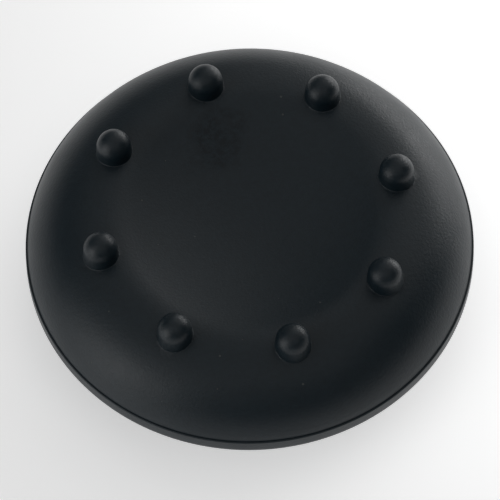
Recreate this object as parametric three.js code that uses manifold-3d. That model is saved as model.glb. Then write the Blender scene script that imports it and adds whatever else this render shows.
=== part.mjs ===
// Thumb grip for the stick of a game controller: one cap moulded in soft silicone.
// The body is turned about Z: a dished top, a round shoulder, a parting step at the widest place,
// and a skirt that runs in under the stick's head. Eight round bumps stand in a ring on the top.
// Millimetres, +Z up. The origin is the middle of the foot ring that the cap stands on.

import * as THREE from 'three';
import { mergeVertices } from 'three/addons/utils/BufferGeometryUtils.js';
import Module from 'manifold-3d';

// Top
const outer_diameter = 22.5;
const crest_height = 6.5;
const crest_diameter = 14.3;
const crest_round = 2.8;
const dish_depth = 1.2;
const shoulder_start_degrees = 2.5;

// Parting step, where the two halves of the mould meet
const parting_height = 3.45;
const step_width = 0.1;
const step_depth = 0.08;
const step_round = 0.06;

// Side band and skirt
const band_height = 0.5;
const band_round = 0.7;
const skirt_degrees = 47;
const foot_round = 0.35;

// Mouth and cavity that take the stick's head
const mouth_diameter = 14.4;
const lip_thickness = 1.0;
const lip_face_degrees = 30;
const cavity_diameter = 18.8;
const cavity_fillet = 0.5;
const wall_straight = 0.5;
const top_thickness = 1.05;
const ceiling_flat_diameter = 13.0;

// Bumps
const bump_count = 8;
const bump_ring_diameter = 15.4;
const bump_diameter = 1.74;
const bump_rise = 1.33;
const bump_root = 0.6;

// Facets
const turn_facets = 64;
const bump_facets = 20;
const coarse_step_degrees = 25;
const medium_step_degrees = 13;
const shoulder_step_degrees = 6.5;
const crest_step_degrees = 4.5;
const dish_step_degrees = 2.25;

const silicone = new THREE.MeshStandardMaterial({ color: 0x16191b, roughness: 0.5, metalness: 0 });

const radians = THREE.MathUtils.degToRad;

// Points along an arc about (r, z), from one angle to another, counted from +r towards +z.
function arc(r, z, radius, start, end, step = medium_step_degrees) {
  const count = Math.max(2, Math.ceil(Math.abs(end - start) / radians(step)));
  const points = [];
  for (let i = 0; i <= count; i += 1) {
    const angle = start + ((end - start) * i) / count;
    points.push(new THREE.Vector2(r + radius * Math.cos(angle), z + radius * Math.sin(angle)));
  }
  return points;
}

// The dish, the round crest and the shoulder, from the parting step up to the axis.
function topProfile() {
  const half_up = Math.PI / 2;
  const crest_r = crest_diameter / 2;
  const crest_centre_z = crest_height - crest_round;
  const dish_angle = 2 * Math.atan(dish_depth / crest_r);
  const dish_edge_r = crest_r - crest_round * Math.sin(dish_angle);
  const dish_radius = dish_edge_r / Math.sin(dish_angle);
  const dish_centre_z = crest_height - dish_depth + dish_radius;

  const start_angle = radians(shoulder_start_degrees);
  const start = new THREE.Vector2(
    crest_r + crest_round * Math.sin(start_angle),
    crest_centre_z + crest_round * Math.cos(start_angle),
  );
  const end = new THREE.Vector2(outer_diameter / 2 - step_width, parting_height);
  const chord = end.distanceTo(start);
  const chord_angle = Math.atan2(start.y - end.y, end.x - start.x);
  const end_angle = 2 * chord_angle - start_angle;
  const shoulder_radius = chord / (2 * Math.sin(chord_angle - start_angle));
  const shoulder_r = start.x - shoulder_radius * Math.sin(start_angle);
  const shoulder_z = start.y - shoulder_radius * Math.cos(start_angle);

  const shoulder = arc(
    shoulder_r, shoulder_z, shoulder_radius,
    half_up - end_angle, half_up - start_angle, shoulder_step_degrees,
  );
  const crest = arc(
    crest_r, crest_centre_z, crest_round,
    half_up - start_angle, half_up + dish_angle, crest_step_degrees,
  );
  const dish = arc(
    0, dish_centre_z, dish_radius,
    -half_up + dish_angle, -half_up, dish_step_degrees,
  );
  return [...shoulder, ...crest, ...dish];
}

// The foot ring, the skirt, the side band and the parting step, from the foot upwards.
// The skirt is the straight line that touches both the foot's round and the band's.
function sideProfile() {
  const outer_r = outer_diameter / 2;
  const skirt_angle = radians(skirt_degrees);
  const step_floor_z = parting_height - step_depth;
  const band_r = outer_r - band_round;
  const band_low_z = step_floor_z - step_round - band_height;
  const rise = band_low_z - foot_round;
  const foot_r = band_r + (band_round - foot_round - rise * Math.sin(skirt_angle)) / Math.cos(skirt_angle);

  const foot = arc(
    foot_r, foot_round, foot_round,
    -Math.PI / 2, -skirt_angle, coarse_step_degrees,
  );
  const bend = arc(band_r, band_low_z, band_round, -skirt_angle, 0);
  const step = arc(
    outer_r - step_round, step_floor_z - step_round, step_round,
    0, Math.PI / 2, 2 * coarse_step_degrees,
  );
  const step_corner = new THREE.Vector2(outer_r - step_width, step_floor_z);
  return [...foot, ...bend, ...step, step_corner];
}

// The ceiling, the cavity wall and the lip round the mouth, from the axis down to the foot.
function cavityProfile() {
  const ceiling_z = crest_height - dish_depth - top_thickness;
  const flat_r = ceiling_flat_diameter / 2;
  const cavity_r = cavity_diameter / 2;
  const face_angle = radians(lip_face_degrees);
  const lip_r = mouth_diameter / 2 + lip_thickness / 2;
  const lip_z = lip_thickness / 2;

  const face_start = new THREE.Vector2(
    lip_r - (lip_thickness / 2) * Math.sin(face_angle),
    lip_z + (lip_thickness / 2) * Math.cos(face_angle),
  );
  const fillet_r = cavity_r - cavity_fillet;
  const face_z = face_start.y + (fillet_r - face_start.x) * Math.tan(face_angle);
  const fillet_z = face_z + cavity_fillet / Math.cos(face_angle);
  const wall_top_z = fillet_z + wall_straight;
  const cove_drop = ceiling_z - wall_top_z;
  const cove_reach = cavity_r - flat_r;

  const cove = arc(0, 0, 1, Math.PI / 2, 0);
  for (const point of cove) {
    point.set(flat_r + cove_reach * point.x, wall_top_z + cove_drop * point.y);
  }
  const fillet = arc(
    fillet_r, fillet_z, cavity_fillet,
    0, face_angle - Math.PI / 2, coarse_step_degrees,
  );
  const lip = arc(
    lip_r, lip_z, lip_thickness / 2,
    face_angle + Math.PI / 2, Math.PI * 1.5, coarse_step_degrees,
  );
  return [new THREE.Vector2(0, ceiling_z), ...cove, ...fillet, ...lip];
}

// Drops each point that lies on the one before it.
function withoutRepeats(points) {
  const least_gap = 1e-4;
  return points.filter((point, i) => i === 0 || point.distanceTo(points[i - 1]) > least_gap);
}

// A turned geometry about Z. Profile points on the axis are set exactly on it.
function turned(points, facets) {
  const profile = withoutRepeats(points);
  profile[0].x = 0;
  profile[profile.length - 1].x = 0;
  return new THREE.LatheGeometry(profile, facets).rotateX(Math.PI / 2);
}

function bodyGeometry() {
  return turned([...cavityProfile(), ...sideProfile(), ...topProfile()], turn_facets);
}

// A bump: a round root inside the body, a short straight side and a dome.
function bumpGeometry() {
  const radius = bump_diameter / 2;
  const dome_z = crest_height + bump_rise - radius;
  const root_z = crest_height - bump_root;
  const root = [new THREE.Vector2(0, root_z), new THREE.Vector2(radius, root_z)];
  const dome = arc(0, dome_z, radius, 0, Math.PI / 2);
  return turned([...root, ...dome], bump_facets);
}

const wasm = await Module();
wasm.setup();

function solidOf(geometry) {
  const bare = geometry.clone();
  bare.deleteAttribute('normal');
  bare.deleteAttribute('uv');
  const merged = mergeVertices(bare);
  const index = merged.getIndex().array;
  const triangles = [];
  for (let i = 0; i < index.length; i += 3) {
    const [a, b, c] = [index[i], index[i + 1], index[i + 2]];
    if (a !== b && b !== c && c !== a) {
      triangles.push(a, b, c);
    }
  }
  return new wasm.Manifold(new wasm.Mesh({
    numProp: 3,
    vertProperties: new Float32Array(merged.getAttribute('position').array),
    triVerts: new Uint32Array(triangles),
  }));
}

function geometryOf(solid) {
  const mesh = solid.getMesh();
  const geometry = new THREE.BufferGeometry();
  geometry.setAttribute('position', new THREE.BufferAttribute(mesh.vertProperties, 3));
  geometry.setIndex(new THREE.BufferAttribute(mesh.triVerts, 1));
  geometry.computeVertexNormals();
  return geometry;
}

// The body with its ring of bumps, the first of them on +X.
function capGeometry() {
  let cap = solidOf(bodyGeometry());
  for (let i = 0; i < bump_count; i += 1) {
    const angle = (i * 2 * Math.PI) / bump_count;
    const bump = bumpGeometry();
    bump.translate(bump_ring_diameter / 2, 0, 0);
    bump.rotateZ(angle);
    cap = cap.add(solidOf(bump));
  }
  return geometryOf(cap);
}

const thumb_grip_cap = new THREE.Mesh(capGeometry(), silicone);
thumb_grip_cap.name = 'thumb_grip_cap';

const thumb_grip = new THREE.Group();
thumb_grip.add(thumb_grip_cap);

export default thumb_grip;
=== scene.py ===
"""A thumb grip for the stick of a game controller, moulded in black silicone, in a plain studio.

The cap is drawn as a section, turned, and given its ring of bumps, each with a small round at its
foot. Run it as a script. All lengths are in metres, in the frame of the packed model.
"""

import math
from typing import NamedTuple

import bpy
from bpy.props import FloatProperty, FloatVectorProperty, IntProperty, PointerProperty
from mathutils import Matrix, Vector


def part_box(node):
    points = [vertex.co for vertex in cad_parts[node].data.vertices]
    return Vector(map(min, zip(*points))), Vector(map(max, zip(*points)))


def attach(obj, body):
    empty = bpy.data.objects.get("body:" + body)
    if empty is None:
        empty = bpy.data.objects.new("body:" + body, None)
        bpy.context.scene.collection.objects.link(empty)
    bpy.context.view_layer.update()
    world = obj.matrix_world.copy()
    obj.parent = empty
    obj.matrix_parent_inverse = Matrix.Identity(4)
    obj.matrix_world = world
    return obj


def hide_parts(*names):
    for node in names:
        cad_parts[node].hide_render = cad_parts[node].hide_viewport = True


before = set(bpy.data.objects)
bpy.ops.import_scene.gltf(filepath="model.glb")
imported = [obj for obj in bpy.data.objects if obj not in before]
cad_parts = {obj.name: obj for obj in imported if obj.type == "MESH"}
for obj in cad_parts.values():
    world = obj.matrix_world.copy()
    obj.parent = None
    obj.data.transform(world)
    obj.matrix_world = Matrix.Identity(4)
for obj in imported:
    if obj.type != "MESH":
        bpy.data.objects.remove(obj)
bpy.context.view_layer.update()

bl_info = {
    "name": "Thumb Grip",
    "version": (1, 0, 0),
    "blender": (4, 5, 0),
    "location": "View3D > Sidebar > Thumb Grip",
    "description": "Moulds a silicone thumb grip and sets it in a studio",
    "category": "Add Mesh",
}

CAP = "silicone_cap"
CAD_CAP = "thumb_grip_cap"
MM = 0.001

low_corner, high_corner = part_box(CAD_CAP)
CAD_DIAMETER = high_corner.x - low_corner.x
CAD_HEIGHT = high_corner.z - low_corner.z
CREST_HEIGHT = 6.5 * MM


def length(name, description, default):
    return FloatProperty(
        name=name, description=description, default=default,
        min=0.0, unit="LENGTH", subtype="DISTANCE", precision=6,
    )


def angle(name, description, degrees):
    return FloatProperty(
        name=name, description=description, default=math.radians(degrees),
        unit="ROTATION", subtype="ANGLE",
    )


def count(name, description, default, least=1):
    return IntProperty(name=name, description=description, default=default, min=least)


def offset(name, description, default):
    return FloatProperty(
        name=name, description=description, default=default,
        unit="LENGTH", subtype="DISTANCE", precision=6,
    )


def share(name, description, default):
    return FloatProperty(
        name=name, description=description, default=default, min=0.0, max=1.0, subtype="FACTOR",
    )


def amount(name, description, default):
    return FloatProperty(name=name, description=description, default=default, min=0.0)


def colour(name, description, default):
    return FloatVectorProperty(
        name=name, description=description, default=default,
        size=3, min=0.0, max=1.0, subtype="COLOR",
    )


class CapSizes(bpy.types.PropertyGroup):
    """Sizes of the turned body"""

    outer_diameter: length("Outer diameter", "Across the side band, its widest place", CAD_DIAMETER)
    crest_height: length("Crest height", "From the foot to the body's highest ring", CREST_HEIGHT)
    crest_diameter: length("Crest diameter", "Across the highest ring of the body", 14.3 * MM)
    crest_round: length("Crest round", "Radius between the dish and the shoulder", 2.8 * MM)
    dish_depth: length("Dish depth", "How far the middle of the top lies below the crest", 1.2 * MM)
    shoulder_start: angle("Shoulder start", "Slope of the shoulder where it leaves the crest", 2.5)
    parting_height: length("Parting height", "Height of the shoulder's lower edge", 3.45 * MM)
    step_width: length("Step width", "How far the side band stands out from the shoulder", 0.1 * MM)
    step_depth: length("Step depth", "How far the band's edge lies below the shoulder's", 0.08 * MM)
    step_round: length("Step round", "Radius of the band's upper edge", 0.06 * MM)
    band_height: length("Band height", "Height of the straight side", 0.5 * MM)
    band_round: length("Band round", "Radius between the side and the skirt", 0.7 * MM)
    skirt_slope: angle("Skirt slope", "How far the skirt leans in from upright", 47.0)
    foot_round: length("Foot round", "Radius at the outside of the foot ring", 0.35 * MM)
    mouth_diameter: length("Mouth diameter", "Opening for the neck of the stick", 14.4 * MM)
    lip_thickness: length("Lip thickness", "Thickness of the round lip at the mouth", 1.0 * MM)
    lip_face_slope: angle("Lip face slope", "Slope of the lip's inner face", 30.0)
    cavity_diameter: length("Cavity diameter", "Width of the space for the stick's head", 18.8 * MM)
    cavity_fillet: length("Cavity fillet", "Radius where the cavity's wall meets the lip", 0.5 * MM)
    wall_straight: length("Wall straight", "Height of the cavity's upright wall", 0.5 * MM)
    top_thickness: length("Top thickness", "Thickness in the middle of the top", 1.05 * MM)
    ceiling_diameter: length("Ceiling diameter", "Flat that rests on the stick's head", 13.0 * MM)
    turn_steps: count("Turn steps", "Faces round the cap", 256, 16)


class BumpSizes(bpy.types.PropertyGroup):
    """Sizes of the ring of bumps"""

    number: count("Number", "Bumps in the ring", 8)
    ring_diameter: length("Ring diameter", "Across the ring that the bumps stand on", 15.4 * MM)
    diameter: length("Diameter", "Across one bump", 1.74 * MM)
    rise: length("Rise", "How far a bump stands above the crest", CAD_HEIGHT - CREST_HEIGHT)
    root: length("Root", "How far a bump reaches down into the body", 0.6 * MM)
    draft: angle("Draft", "How far a bump's side leans in from upright", 3.0)
    foot_round: length("Foot round", "Radius in the corner at a bump's foot", 0.035 * MM)
    foot_sink: length("Foot sink", "How far the foot's round dips under the top", 0.004 * MM)
    turn_steps: count("Turn steps", "Faces round one bump", 56, 12)


class SiliconeLook(bpy.types.PropertyGroup):
    """Colour and surface of the silicone"""

    base: colour("Base", "Colour of clean silicone", (0.0042, 0.0112, 0.0162))
    roughness: share("Roughness", "Roughness of the moulded surface", 0.43)
    roughness_drift: share("Roughness drift", "How much the roughness wanders", 0.06)
    index: amount("Refractive index", "Index of refraction of silicone", 1.41)
    grain_size: length("Grain size", "Width of the grains in the moulded surface", 0.14 * MM)
    grain_depth: length("Grain depth", "Height of the grains", 0.012 * MM)
    # The darkest spots colour both the random mottle and the painted reflection of the back bump.
    stain_and_reflection: colour("Stain", "Colour of the darkest spots", (0.0, 0.0034, 0.0062))
    mottle: share("Mottle", "How much the colour wanders from spot to spot", 0.3)
    mottle_size: length("Mottle size", "Width of the spots", 0.3 * MM)
    # Painted reflection: a darker, rougher, spotted patch in the dish, painted where the glossy top
    # mirrors the bump at the back.
    painted_reflection: share("Painted reflection", "How much darker the smudge inside the ring is", 1.0)
    painted_reflection_roughness: share("Smudge roughness", "How much rougher the smudge is", 0.2)
    painted_reflection_size: length("Smudge size", "Width of the smudge", 3.8 * MM)
    painted_reflection_x: offset("Smudge x", "Place of the smudge, to the right", -0.2 * MM)
    painted_reflection_y: offset("Smudge y", "Place of the smudge, to the back", 4.9 * MM)
    dust: colour("Dust", "Colour of the specks of dust", (0.05, 0.055, 0.055))
    dust_size: length("Dust size", "Width of the largest specks", 0.12 * MM)
    dust_spacing: length("Dust spacing", "Typical distance between specks", 1.15 * MM)


class StudioSettings(bpy.types.PropertyGroup):
    """Camera, floor and lights"""

    camera_turn: angle("Camera turn", "Camera's place round the cap, from the front", -15.35)
    camera_elevation: angle("Camera elevation", "Camera's height above the horizon", 61.2)
    camera_roll: angle("Camera roll", "How far the picture is turned", 1.22)
    camera_distance: length("Camera distance", "From the ring of bumps to the camera", 0.5)
    focal_length: amount("Focal length", "Lens, in millimetres", 721.8)
    aim_right: offset("Aim right", "Aim beside the ring's middle", 0.054 * MM)
    aim_up: offset("Aim up", "Aim above the ring's middle", -1.993 * MM)
    floor: colour("Floor", "Colour of the floor", (0.86, 0.86, 0.86))
    floor_roughness: share("Floor roughness", "Roughness of the floor", 0.3)
    floor_width: length("Floor width", "Size of the floor", 4.0)
    floor_glow: share("Floor glow", "Light that comes through the floor, as on a light table", 0.4)
    # A painted pool of light: the floor glows brighter round a point at the back right.
    pool_glow: amount("Pool glow", "The same in the middle of the pool of light at the right", 0.95)
    pool_x: offset("Pool x", "Middle of the pool of light, to the right", 36.0 * MM)
    pool_y: offset("Pool y", "Middle of the pool of light, to the back", 10.0 * MM)
    pool_width: length("Pool width", "Width over which the pool of light fades", 110.0 * MM)
    surround: share("Surround", "Brightness of the room", 0.02)
    overhead: amount("Overhead", "Brightness of the sheet above the cap", 0.41)
    left_wall: amount("Left wall", "Brightness of the wall at the left", 0.44)
    left_window: amount("Left window", "Brightness of the softbox at the left", 1.45)
    left_strip: amount("Left strip", "Brightness of the low strip at the left", 0.75)
    right_wall: amount("Right wall", "Brightness of the wall at the back right", 0.55)
    right_strip: amount("Right strip", "Brightness of the low strip at the back right", 4.3)
    front: amount("Front", "Brightness of the high sheet in front", 0.26)
    back: amount("Back", "Brightness of the wall at the back", 0.2)


class Section:
    """The cap's section in the x-z plane, worked out from its sizes: lines and smooth arcs."""

    def __init__(self, sizes):
        self.sizes = sizes
        self.outer_r = sizes.outer_diameter / 2
        self.place_top()
        self.place_side()
        self.place_cavity()

    def place_top(self):
        s = self.sizes
        self.crest_r = s.crest_diameter / 2
        self.crest_z = s.crest_height - s.crest_round
        self.dish_angle = 2 * math.atan(s.dish_depth / self.crest_r)
        self.dish_edge_r = self.crest_r - s.crest_round * math.sin(self.dish_angle)
        self.dish_radius = self.dish_edge_r / math.sin(self.dish_angle)
        self.dish_z = s.crest_height - s.dish_depth + self.dish_radius

        self.shoulder_top_r = self.crest_r + s.crest_round * math.sin(s.shoulder_start)
        shoulder_top_z = self.crest_z + s.crest_round * math.cos(s.shoulder_start)
        across = self.outer_r - s.step_width - self.shoulder_top_r
        down = shoulder_top_z - s.parting_height
        chord_angle = math.atan2(down, across)
        self.shoulder_end = 2 * chord_angle - s.shoulder_start
        half_turn = chord_angle - s.shoulder_start
        self.shoulder_radius = math.hypot(across, down) / (2 * math.sin(half_turn))
        self.shoulder_r = self.shoulder_top_r - self.shoulder_radius * math.sin(s.shoulder_start)
        self.shoulder_z = shoulder_top_z - self.shoulder_radius * math.cos(s.shoulder_start)

    def place_side(self):
        s = self.sizes
        self.step_floor_z = s.parting_height - s.step_depth
        self.step_z = self.step_floor_z - s.step_round
        self.band_r = self.outer_r - s.band_round
        self.band_z = self.step_z - s.band_height
        rise = self.band_z - s.foot_round
        reach = s.band_round - s.foot_round - rise * math.sin(s.skirt_slope)
        self.foot_r = self.band_r + reach / math.cos(s.skirt_slope)

    def place_cavity(self):
        s = self.sizes
        self.lip_radius = s.lip_thickness / 2
        self.lip_r = s.mouth_diameter / 2 + self.lip_radius
        self.face_r = self.lip_r - self.lip_radius * math.sin(s.lip_face_slope)
        self.face_z = self.lip_radius + self.lip_radius * math.cos(s.lip_face_slope)
        self.cavity_r = s.cavity_diameter / 2
        self.fillet_r = self.cavity_r - s.cavity_fillet
        face_end_z = self.face_z + (self.fillet_r - self.face_r) * math.tan(s.lip_face_slope)
        self.fillet_z = face_end_z + s.cavity_fillet / math.cos(s.lip_face_slope)
        self.wall_top_z = self.fillet_z + s.wall_straight
        self.ceiling_z = s.crest_height - s.dish_depth - s.top_thickness
        self.ceiling_r = s.ceiling_diameter / 2

    def top_height(self, r):
        """The height of the body's top surface at a distance from the axis."""
        if r < self.dish_edge_r:
            return self.dish_z - math.sqrt(self.dish_radius**2 - r**2)
        if r < self.shoulder_top_r:
            return self.crest_z + math.sqrt(self.sizes.crest_round**2 - (r - self.crest_r) ** 2)
        return self.shoulder_z + math.sqrt(self.shoulder_radius**2 - (r - self.shoulder_r) ** 2)

    def draw(self, name):
        """Draws the whole section, from the ceiling's middle down, out, and up to the dish."""
        s = self.sizes
        quarter = math.pi / 2
        pen = Pen(name, 0, self.ceiling_z)
        pen.line(self.ceiling_r, self.ceiling_z)
        pen.cove(self.cavity_r, self.wall_top_z)
        pen.line(self.cavity_r, self.fillet_z)
        pen.arc(self.fillet_r, self.fillet_z, s.lip_face_slope - quarter)
        pen.line(self.face_r, self.face_z)
        pen.arc(self.lip_r, self.lip_radius, math.pi - s.lip_face_slope)
        pen.line(self.foot_r, 0)
        pen.arc(self.foot_r, s.foot_round, quarter - s.skirt_slope)
        skirt_top_r = self.band_r + s.band_round * math.cos(s.skirt_slope)
        skirt_top_z = self.band_z - s.band_round * math.sin(s.skirt_slope)
        pen.line(skirt_top_r, skirt_top_z)
        pen.arc(self.band_r, self.band_z, s.skirt_slope)
        pen.line(self.outer_r, self.step_z)
        pen.arc(self.outer_r - s.step_round, self.step_z, quarter)
        pen.line(self.outer_r - s.step_width, self.step_floor_z)
        pen.line(self.outer_r - s.step_width, s.parting_height)
        pen.arc(self.shoulder_r, self.shoulder_z, self.shoulder_end - s.shoulder_start)
        pen.arc(self.crest_r, self.crest_z, s.shoulder_start + self.dish_angle)
        pen.arc(0, self.dish_z, -self.dish_angle)
        return pen


SEED_SIZE = 1.0 * MM
ARC_STEP = math.radians(5)
LONGEST_STEP = 0.35 * MM
MERGE_DISTANCE = 1e-7
SHARP_ANGLE = math.radians(35)


class Pen:
    """Draws a section as by hand: one vertex, extruded along lines and spun along arcs."""

    def __init__(self, name, r, z):
        select_nothing()
        bpy.ops.mesh.primitive_plane_add(size=SEED_SIZE)
        self.piece = bpy.context.object
        self.piece.name = name
        bpy.ops.object.mode_set(mode="EDIT")
        bpy.ops.mesh.merge(type="CENTER")
        bpy.ops.transform.translate(value=(r, 0, z))
        self.r, self.z = r, z

    def line(self, r, z):
        """Extrudes straight to a point."""
        step = (r - self.r, 0, z - self.z)
        bpy.ops.mesh.extrude_region_move(TRANSFORM_OT_translate={"value": step})
        self.r, self.z = r, z

    def arc(self, centre_r, centre_z, sweep):
        """Spins about a centre. A positive sweep turns from +x towards +z."""
        radius = math.hypot(self.r - centre_r, self.z - centre_z)
        turned = abs(sweep)
        steps = max(2, math.ceil(turned / ARC_STEP), math.ceil(turned * radius / LONGEST_STEP))
        bpy.ops.mesh.spin(steps=steps, angle=sweep, center=(centre_r, 0, centre_z), axis=(0, 1, 0))
        start = math.atan2(self.z - centre_z, self.r - centre_r)
        self.r = centre_r + radius * math.cos(start + sweep)
        self.z = centre_z + radius * math.sin(start + sweep)

    def cove(self, end_r, end_z):
        """Extrudes along a quarter of an ellipse that starts level and ends upright."""
        start_r, start_z = self.r, self.z
        steps = math.ceil(math.pi / 2 / ARC_STEP)
        for i in range(1, steps + 1):
            turn = i / steps * math.pi / 2
            self.line(
                start_r + (end_r - start_r) * math.sin(turn),
                end_z + (start_z - end_z) * math.cos(turn),
            )

    def turn(self, axis_x, steps):
        """Spins the section a full turn about an upright axis and closes the shell."""
        bpy.ops.mesh.select_all(action="SELECT")
        bpy.ops.mesh.spin(steps=steps, angle=2 * math.pi, center=(axis_x, 0, 0), axis=(0, 0, 1))
        close_shell()
        bpy.ops.object.mode_set(mode="OBJECT")
        return self.piece


def select_nothing():
    if bpy.context.object and bpy.context.object.mode != "OBJECT":
        bpy.ops.object.mode_set(mode="OBJECT")
    bpy.ops.object.select_all(action="DESELECT")


def make_active(piece):
    select_nothing()
    piece.select_set(True)
    bpy.context.view_layer.objects.active = piece


def close_shell():
    """In edit mode: merges what meets and turns every face outwards."""
    bpy.ops.mesh.select_all(action="SELECT")
    bpy.ops.mesh.remove_doubles(threshold=MERGE_DISTANCE)
    bpy.ops.mesh.normals_make_consistent(inside=False)


def required(name):
    piece = bpy.data.objects.get(name)
    if piece is None:
        raise RuntimeError(f"{name} has to be made first")
    return piece


class TurnCap(bpy.types.Operator):
    """Draws the cap's section and turns it about the upright axis"""

    bl_idname = "thumb_grip.turn_cap"
    bl_label = "Turn Cap"

    def execute(self, context):
        sizes = context.scene.cap_sizes
        cap = Section(sizes).draw(CAP).turn(0, sizes.turn_steps)
        cap.data.name = CAP
        finish_cap(context)
        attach(cap, "root")
        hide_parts(CAD_CAP)
        return {"FINISHED"}


def draw_bump(sizes, crest_z):
    """Turns one upright bump on +X, its foot rounded out onto a flat top at the crest's height."""
    middle = sizes.ring_diameter / 2
    radius = sizes.diameter / 2
    foot = sizes.foot_round
    sunk_z = crest_z - sizes.foot_sink
    dome_z = crest_z + sizes.rise - radius
    side_top_r = middle + radius * math.cos(sizes.draft)
    side_top_z = dome_z + radius * math.sin(sizes.draft)
    foot_top_z = sunk_z + foot * (1 - math.sin(sizes.draft))
    side_foot_r = side_top_r + (side_top_z - foot_top_z) * math.tan(sizes.draft)
    foot_r = side_foot_r + foot * math.cos(sizes.draft)

    pen = Pen("bump", middle, crest_z - sizes.root)
    pen.line(foot_r, crest_z - sizes.root)
    pen.line(foot_r, sunk_z)
    pen.arc(foot_r, sunk_z + foot, sizes.draft - math.pi / 2)
    pen.line(side_top_r, side_top_z)
    pen.arc(middle, dome_z, math.pi / 2 - sizes.draft)
    return pen.turn(middle, sizes.turn_steps)


def settle_foot(bump, sizes, section):
    """Lowers the foot to follow the body's top, and leaves the dome where it is."""
    crest_z = section.sizes.crest_height
    side_z = crest_z + sizes.foot_round
    dome_z = crest_z + sizes.rise - sizes.diameter / 2
    for vertex in bump.data.vertices:
        held = min(1, max(0, (vertex.co.z - side_z) / (dome_z - side_z)))
        drop = crest_z - section.top_height(math.hypot(vertex.co.x, vertex.co.y))
        vertex.co.z -= drop * (1 - held)


def copy_round(piece, number):
    """Copies a piece evenly round the upright axis and joins the copies into it."""
    copies = [piece]
    for i in range(1, number):
        copy = piece.copy()
        copy.data = piece.data.copy()
        copy.data.transform(Matrix.Rotation(i * 2 * math.pi / number, 4, "Z"))
        bpy.context.collection.objects.link(copy)
        copies.append(copy)
    make_active(piece)
    for copy in copies:
        copy.select_set(True)
    bpy.ops.object.join()
    return piece


class RaiseBumps(bpy.types.Operator):
    """Models one bump, copies it round the ring and unites the ring with the cap"""

    bl_idname = "thumb_grip.raise_bumps"
    bl_label = "Raise Bumps"

    def execute(self, context):
        cap = required(CAP)
        sizes = context.scene.bump_sizes
        section = Section(context.scene.cap_sizes)
        bump = draw_bump(sizes, section.sizes.crest_height)
        settle_foot(bump, sizes, section)
        bumps = copy_round(bump, sizes.number)
        unite(cap, bumps)
        finish_cap(context)
        return {"FINISHED"}


def unite(piece, other):
    """Joins another closed shell to a piece and removes the other."""
    make_active(piece)
    union = piece.modifiers.new("Union", "BOOLEAN")
    union.operation = "UNION"
    union.solver = "EXACT"
    union.object = other
    bpy.ops.object.modifier_apply(modifier=union.name)
    bpy.data.objects.remove(other)


def finish_cap(context):
    """Closes the cap's shell, smooths its shading and gives it its material."""
    cap = required(CAP)
    make_active(cap)
    bpy.ops.object.mode_set(mode="EDIT")
    close_shell()
    bpy.ops.object.mode_set(mode="OBJECT")
    bpy.ops.object.shade_smooth_by_angle(angle=SHARP_ANGLE)
    cap.data.materials.clear()
    cap.data.materials.append(silicone_material(context.scene.silicone_look))


class Wire:
    """A socket in a shader graph. Arithmetic on it adds Math nodes."""

    def __init__(self, graph, socket):
        self.graph = graph
        self.socket = socket

    def math(self, operation, *values):
        sockets = dict(enumerate(values))
        return self.graph.add("ShaderNodeMath", {"operation": operation}, sockets)["Value"]

    def __add__(self, other):
        return self.math("ADD", self, other)

    def __radd__(self, other):
        return self.math("ADD", other, self)

    def __sub__(self, other):
        return self.math("SUBTRACT", self, other)

    def __rsub__(self, other):
        return self.math("SUBTRACT", other, self)

    def __mul__(self, other):
        return self.math("MULTIPLY", self, other)

    def __rmul__(self, other):
        return self.math("MULTIPLY", other, self)

    def __lt__(self, other):
        return self.math("LESS_THAN", self, other)


class ShaderGraph:
    """The node tree of one material."""

    def __init__(self, name):
        self.material = bpy.data.materials.get(name) or bpy.data.materials.new(name)
        self.material.use_nodes = True
        self.tree = self.material.node_tree
        self.tree.nodes.clear()

    def add(self, kind, settings=None, sockets=None):
        """Adds a node with its settings and sockets, and gives its outputs by name."""
        node = self.tree.nodes.new(kind)
        for name, value in (settings or {}).items():
            setattr(node, name, value)
        for name, value in (sockets or {}).items():
            socket = self.enabled_input(node, name)
            if isinstance(value, Wire):
                self.tree.links.new(value.socket, socket)
            else:
                socket.default_value = value
        return {output.name: Wire(self, output) for output in node.outputs if output.enabled}

    def enabled_input(self, node, name):
        if isinstance(name, int):
            return node.inputs[name]
        return next(socket for socket in node.inputs if socket.enabled and socket.name == name)

    def smooth_step(self, value, low, high):
        settings = {"interpolation_type": "SMOOTHSTEP"}
        return self.add(
            "ShaderNodeMapRange", settings, {"Value": value, "From Min": low, "From Max": high},
        )["Result"]

    def mix_colour(self, factor, first, second):
        sockets = {"Factor": factor, "A": first, "B": second}
        return self.add("ShaderNodeMix", {"data_type": "RGBA"}, sockets)["Result"]

    def noise(self, place, scale, detail, roughness):
        sockets = {"Vector": place, "Scale": scale, "Detail": detail, "Roughness": roughness}
        return self.add("ShaderNodeTexNoise", {"noise_dimensions": "3D"}, sockets)["Fac"]

    def distance(self, place, middle):
        sockets = {0: place, 1: middle}
        return self.add("ShaderNodeVectorMath", {"operation": "DISTANCE"}, sockets)["Value"]

    def finish(self, sockets):
        """Adds the surface and the output, and gives the material."""
        surface = self.add("ShaderNodeBsdfPrincipled", None, sockets)["BSDF"]
        self.add("ShaderNodeOutputMaterial", None, {"Surface": surface})
        return self.material


NOISE_MIDDLE = 0.5
PATCH_SCALE = 0.6 / MM
SPOT_START, SPOT_FULL = 0.35, 0.65
# Edges, raggedness and relief of the painted reflection of the back bump.
PAINTED_REFLECTION_FULL, PAINTED_REFLECTION_END = 0.3, 1.1
PAINTED_REFLECTION_RAGGEDNESS = 2.0
PAINTED_REFLECTION_RELIEF = 3.5
DUST_RELIEF = 2.0
DUST_ROUGHNESS = 0.3
SMALLEST_SPECK = 0.35


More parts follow.
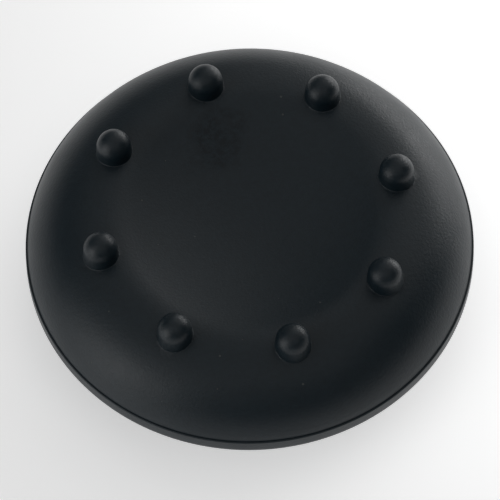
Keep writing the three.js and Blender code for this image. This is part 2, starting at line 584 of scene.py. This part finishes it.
def silicone_material(look):
    """Black silicone: satin, with a fine moulded grain, a painted dark reflection of the back bump
    in the dish, and a few specks of dust.
    """
    graph = ShaderGraph("black silicone")
    place = graph.add("ShaderNodeTexCoord")["Object"]
    grain = graph.noise(place, 1 / look.grain_size, detail=2.0, roughness=0.6)
    patches = graph.noise(place, PATCH_SCALE, detail=3.0, roughness=0.5)
    spots = graph.noise(place, 1 / look.mottle_size, detail=3.0, roughness=0.7)

    # Painted reflection: a ragged dark patch in the dish, in front of the bump at the back, where
    # the glossy top mirrors that bump.
    middle = (look.painted_reflection_x, look.painted_reflection_y, CREST_HEIGHT)
    rings = graph.distance(place, middle) * (2 / look.painted_reflection_size)
    ragged_rings = rings + (patches - NOISE_MIDDLE) * PAINTED_REFLECTION_RAGGEDNESS
    painted_reflection_mask = 1.0 - graph.smooth_step(ragged_rings, PAINTED_REFLECTION_FULL, PAINTED_REFLECTION_END)

    specks = graph.add(
        "ShaderNodeTexVoronoi", {"feature": "F1"},
        {"Vector": place, "Scale": 1 / look.dust_spacing, "Randomness": 1.0},
    )
    chance = graph.add("ShaderNodeSeparateColor", None, {"Color": specks["Color"]})["Red"]
    largest = look.dust_size / look.dust_spacing / 2
    dust = specks["Distance"] < (chance * (1 - SMALLEST_SPECK) + SMALLEST_SPECK) * largest

    # Darkening: the spotted painted reflection inside the patch, the random mottle outside it.
    stain_and_reflection_share = painted_reflection_mask * look.painted_reflection + look.mottle * (1.0 - painted_reflection_mask)
    dark = graph.smooth_step(spots, SPOT_START, SPOT_FULL) * stain_and_reflection_share
    clean = graph.mix_colour(dark, (*look.base, 1.0), (*look.stain_and_reflection, 1.0))
    base = graph.mix_colour(dust, clean, (*look.dust, 1.0))
    drift = (patches - NOISE_MIDDLE) * (2 * look.roughness_drift)
    roughness = look.roughness + drift + painted_reflection_mask * look.painted_reflection_roughness + dust * DUST_ROUGHNESS
    height = grain + dust * DUST_RELIEF + painted_reflection_mask * spots * PAINTED_REFLECTION_RELIEF
    relief = graph.add(
        "ShaderNodeBump", None, {"Strength": 1.0, "Distance": look.grain_depth, "Height": height},
    )["Normal"]
    return graph.finish({
        "Base Color": base, "Roughness": roughness, "IOR": look.index, "Normal": relief,
    })


LIGHT_DISTANCE = 1.0


class SoftLight(NamedTuple):
    """A rectangular light, placed round the cap as the camera sees it."""

    name: str
    turn: float
    elevation: float
    width: float
    height: float
    brightness: float


def studio_lights(studio):
    """The lights. A turn is counted from the camera's right hand towards the back of the scene."""
    return [
        SoftLight("overhead", 90, 88, 1.4, 1.4, studio.overhead),
        SoftLight("left_wall", 208, 30, 1.2, 1.1, studio.left_wall),
        SoftLight("left_window", 212, 20, 0.6, 0.6, studio.left_window),
        SoftLight("left_strip", 202, 10, 0.75, 0.3, studio.left_strip),
        SoftLight("right_wall", 54, 30, 1.2, 1.0, studio.right_wall),
        SoftLight("right_strip", 50, 9, 0.75, 0.25, studio.right_strip),
        SoftLight("front", 290, 45, 1.2, 0.7, studio.front),
        SoftLight("back", 108, 38, 1.0, 0.7, studio.back),
    ]


SENSOR_WIDTH = 36.0


def camera_rotation(back, roll):
    """The rotation of a camera whose back points along a direction, turned about its own axis."""
    right = Vector((0, 0, 1)).cross(back).normalized()
    up = back.cross(right)
    level = Matrix((right, up, back)).transposed()
    return level @ Matrix.Rotation(-roll, 3, "Z")


def place_camera(context, studio):
    """Aims the camera at the ring of bumps from the side and height of the settings."""
    sizes = context.scene.bump_sizes
    ring_z = context.scene.cap_sizes.crest_height + sizes.rise - sizes.diameter / 2
    ring = Vector((0, 0, ring_z))
    level = math.cos(studio.camera_elevation)
    back = Vector((
        math.sin(studio.camera_turn) * level,
        -math.cos(studio.camera_turn) * level,
        math.sin(studio.camera_elevation),
    ))
    place = ring + back * studio.camera_distance
    turned = camera_rotation(back, studio.camera_roll)
    aim = ring + turned @ Vector((studio.aim_right, studio.aim_up, 0))

    bpy.ops.object.camera_add(location=place)
    camera = context.object
    camera.name = "camera"
    aimed = camera_rotation((place - aim).normalized(), studio.camera_roll)
    camera.rotation_euler = aimed.to_euler()
    camera.data.sensor_width = SENSOR_WIDTH
    camera.data.lens = studio.focal_length
    context.scene.camera = camera


def place_light(light, studio):
    """Adds one soft light that faces the cap."""
    turn = math.radians(light.turn) + studio.camera_turn
    elevation = math.radians(light.elevation)
    away = Vector((
        math.cos(turn) * math.cos(elevation),
        math.sin(turn) * math.cos(elevation),
        math.sin(elevation),
    ))
    bpy.ops.object.light_add(type="AREA", location=away * LIGHT_DISTANCE)
    lamp = bpy.context.object
    lamp.name = light.name
    lamp.rotation_euler = camera_rotation(away, 0).to_euler()
    lamp.data.shape = "RECTANGLE"
    lamp.data.size = light.width
    lamp.data.size_y = light.height
    lamp.data.energy = light.brightness * math.pi * light.width * light.height


WHITE = (1.0, 1.0, 1.0, 1.0)
FLOOR_TOOTH_SIZE = 0.4 * MM
FLOOR_TOOTH_DEPTH = 0.004 * MM


def lay_floor(studio):
    """A wide plain floor that the cap stands on, softly lit from below as on a light table, with a
    painted pool of light glowing at the back right.
    """
    bpy.ops.mesh.primitive_plane_add(size=studio.floor_width)
    floor = bpy.context.object
    floor.name = "floor"
    graph = ShaderGraph("pale floor")
    place = graph.add("ShaderNodeTexCoord")["Object"]
    tooth = graph.noise(place, 1 / FLOOR_TOOTH_SIZE, detail=2.0, roughness=0.5)
    relief = graph.add(
        "ShaderNodeBump", None, {"Distance": FLOOR_TOOTH_DEPTH, "Height": tooth},
    )["Normal"]
    # Painted pool of light: the glow is strongest at the pool's middle and fades to the even glow.
    from_pool = graph.distance(place, (studio.pool_x, studio.pool_y, 0.0))
    faded = graph.smooth_step(from_pool, 0.0, studio.pool_width / 2)
    even = studio.floor_glow / studio.pool_glow
    material = graph.finish({
        "Base Color": (*studio.floor, 1.0),
        "Roughness": studio.floor_roughness,
        "Normal": relief,
        "Emission Color": graph.mix_colour(faded, WHITE, (even, even, even, 1.0)),
        "Emission Strength": studio.pool_glow,
    })
    floor.data.materials.append(material)


def set_surround(scene, studio):
    """Fills the room with an even dim light."""
    world = bpy.data.worlds.new("studio")
    world.use_nodes = True
    background = world.node_tree.nodes["Background"]
    background.inputs["Color"].default_value = WHITE
    background.inputs["Strength"].default_value = studio.surround
    scene.world = world


class SetStudio(bpy.types.Operator):
    """Lays the floor and places the lights and the camera"""

    bl_idname = "thumb_grip.set_studio"
    bl_label = "Set Studio"

    def execute(self, context):
        studio = context.scene.studio_settings
        select_nothing()
        lay_floor(studio)
        for light in studio_lights(studio):
            place_light(light, studio)
        set_surround(context.scene, studio)
        place_camera(context, studio)
        context.scene.view_settings.view_transform = "Standard"
        context.scene.view_settings.look = "None"
        return {"FINISHED"}


class GripPanel(bpy.types.Panel):
    """Sizes, looks and steps of the thumb grip"""

    bl_idname = "VIEW3D_PT_thumb_grip"
    bl_label = "Thumb Grip"
    bl_space_type = "VIEW_3D"
    bl_region_type = "UI"
    bl_category = "Thumb Grip"

    def draw(self, context):
        for name, group in SETTINGS.items():
            box = self.layout.box()
            box.label(text=group.__doc__)
            for field in group.__annotations__:
                box.prop(getattr(context.scene, name), field)
        for step in STEPS:
            self.layout.operator(step.bl_idname)


SETTINGS = {
    "cap_sizes": CapSizes,
    "bump_sizes": BumpSizes,
    "silicone_look": SiliconeLook,
    "studio_settings": StudioSettings,
}
STEPS = (TurnCap, RaiseBumps, SetStudio)
CLASSES = (*SETTINGS.values(), *STEPS, GripPanel)


def register():
    for item in CLASSES:
        bpy.utils.register_class(item)
    for name, group in SETTINGS.items():
        setattr(bpy.types.Scene, name, PointerProperty(type=group))


def unregister():
    for name in SETTINGS:
        delattr(bpy.types.Scene, name)
    for item in reversed(CLASSES):
        bpy.utils.unregister_class(item)


def main():
    register()
    bpy.ops.thumb_grip.turn_cap()
    bpy.ops.thumb_grip.raise_bumps()
    bpy.ops.thumb_grip.set_studio()


if __name__ == "__main__":
    main()
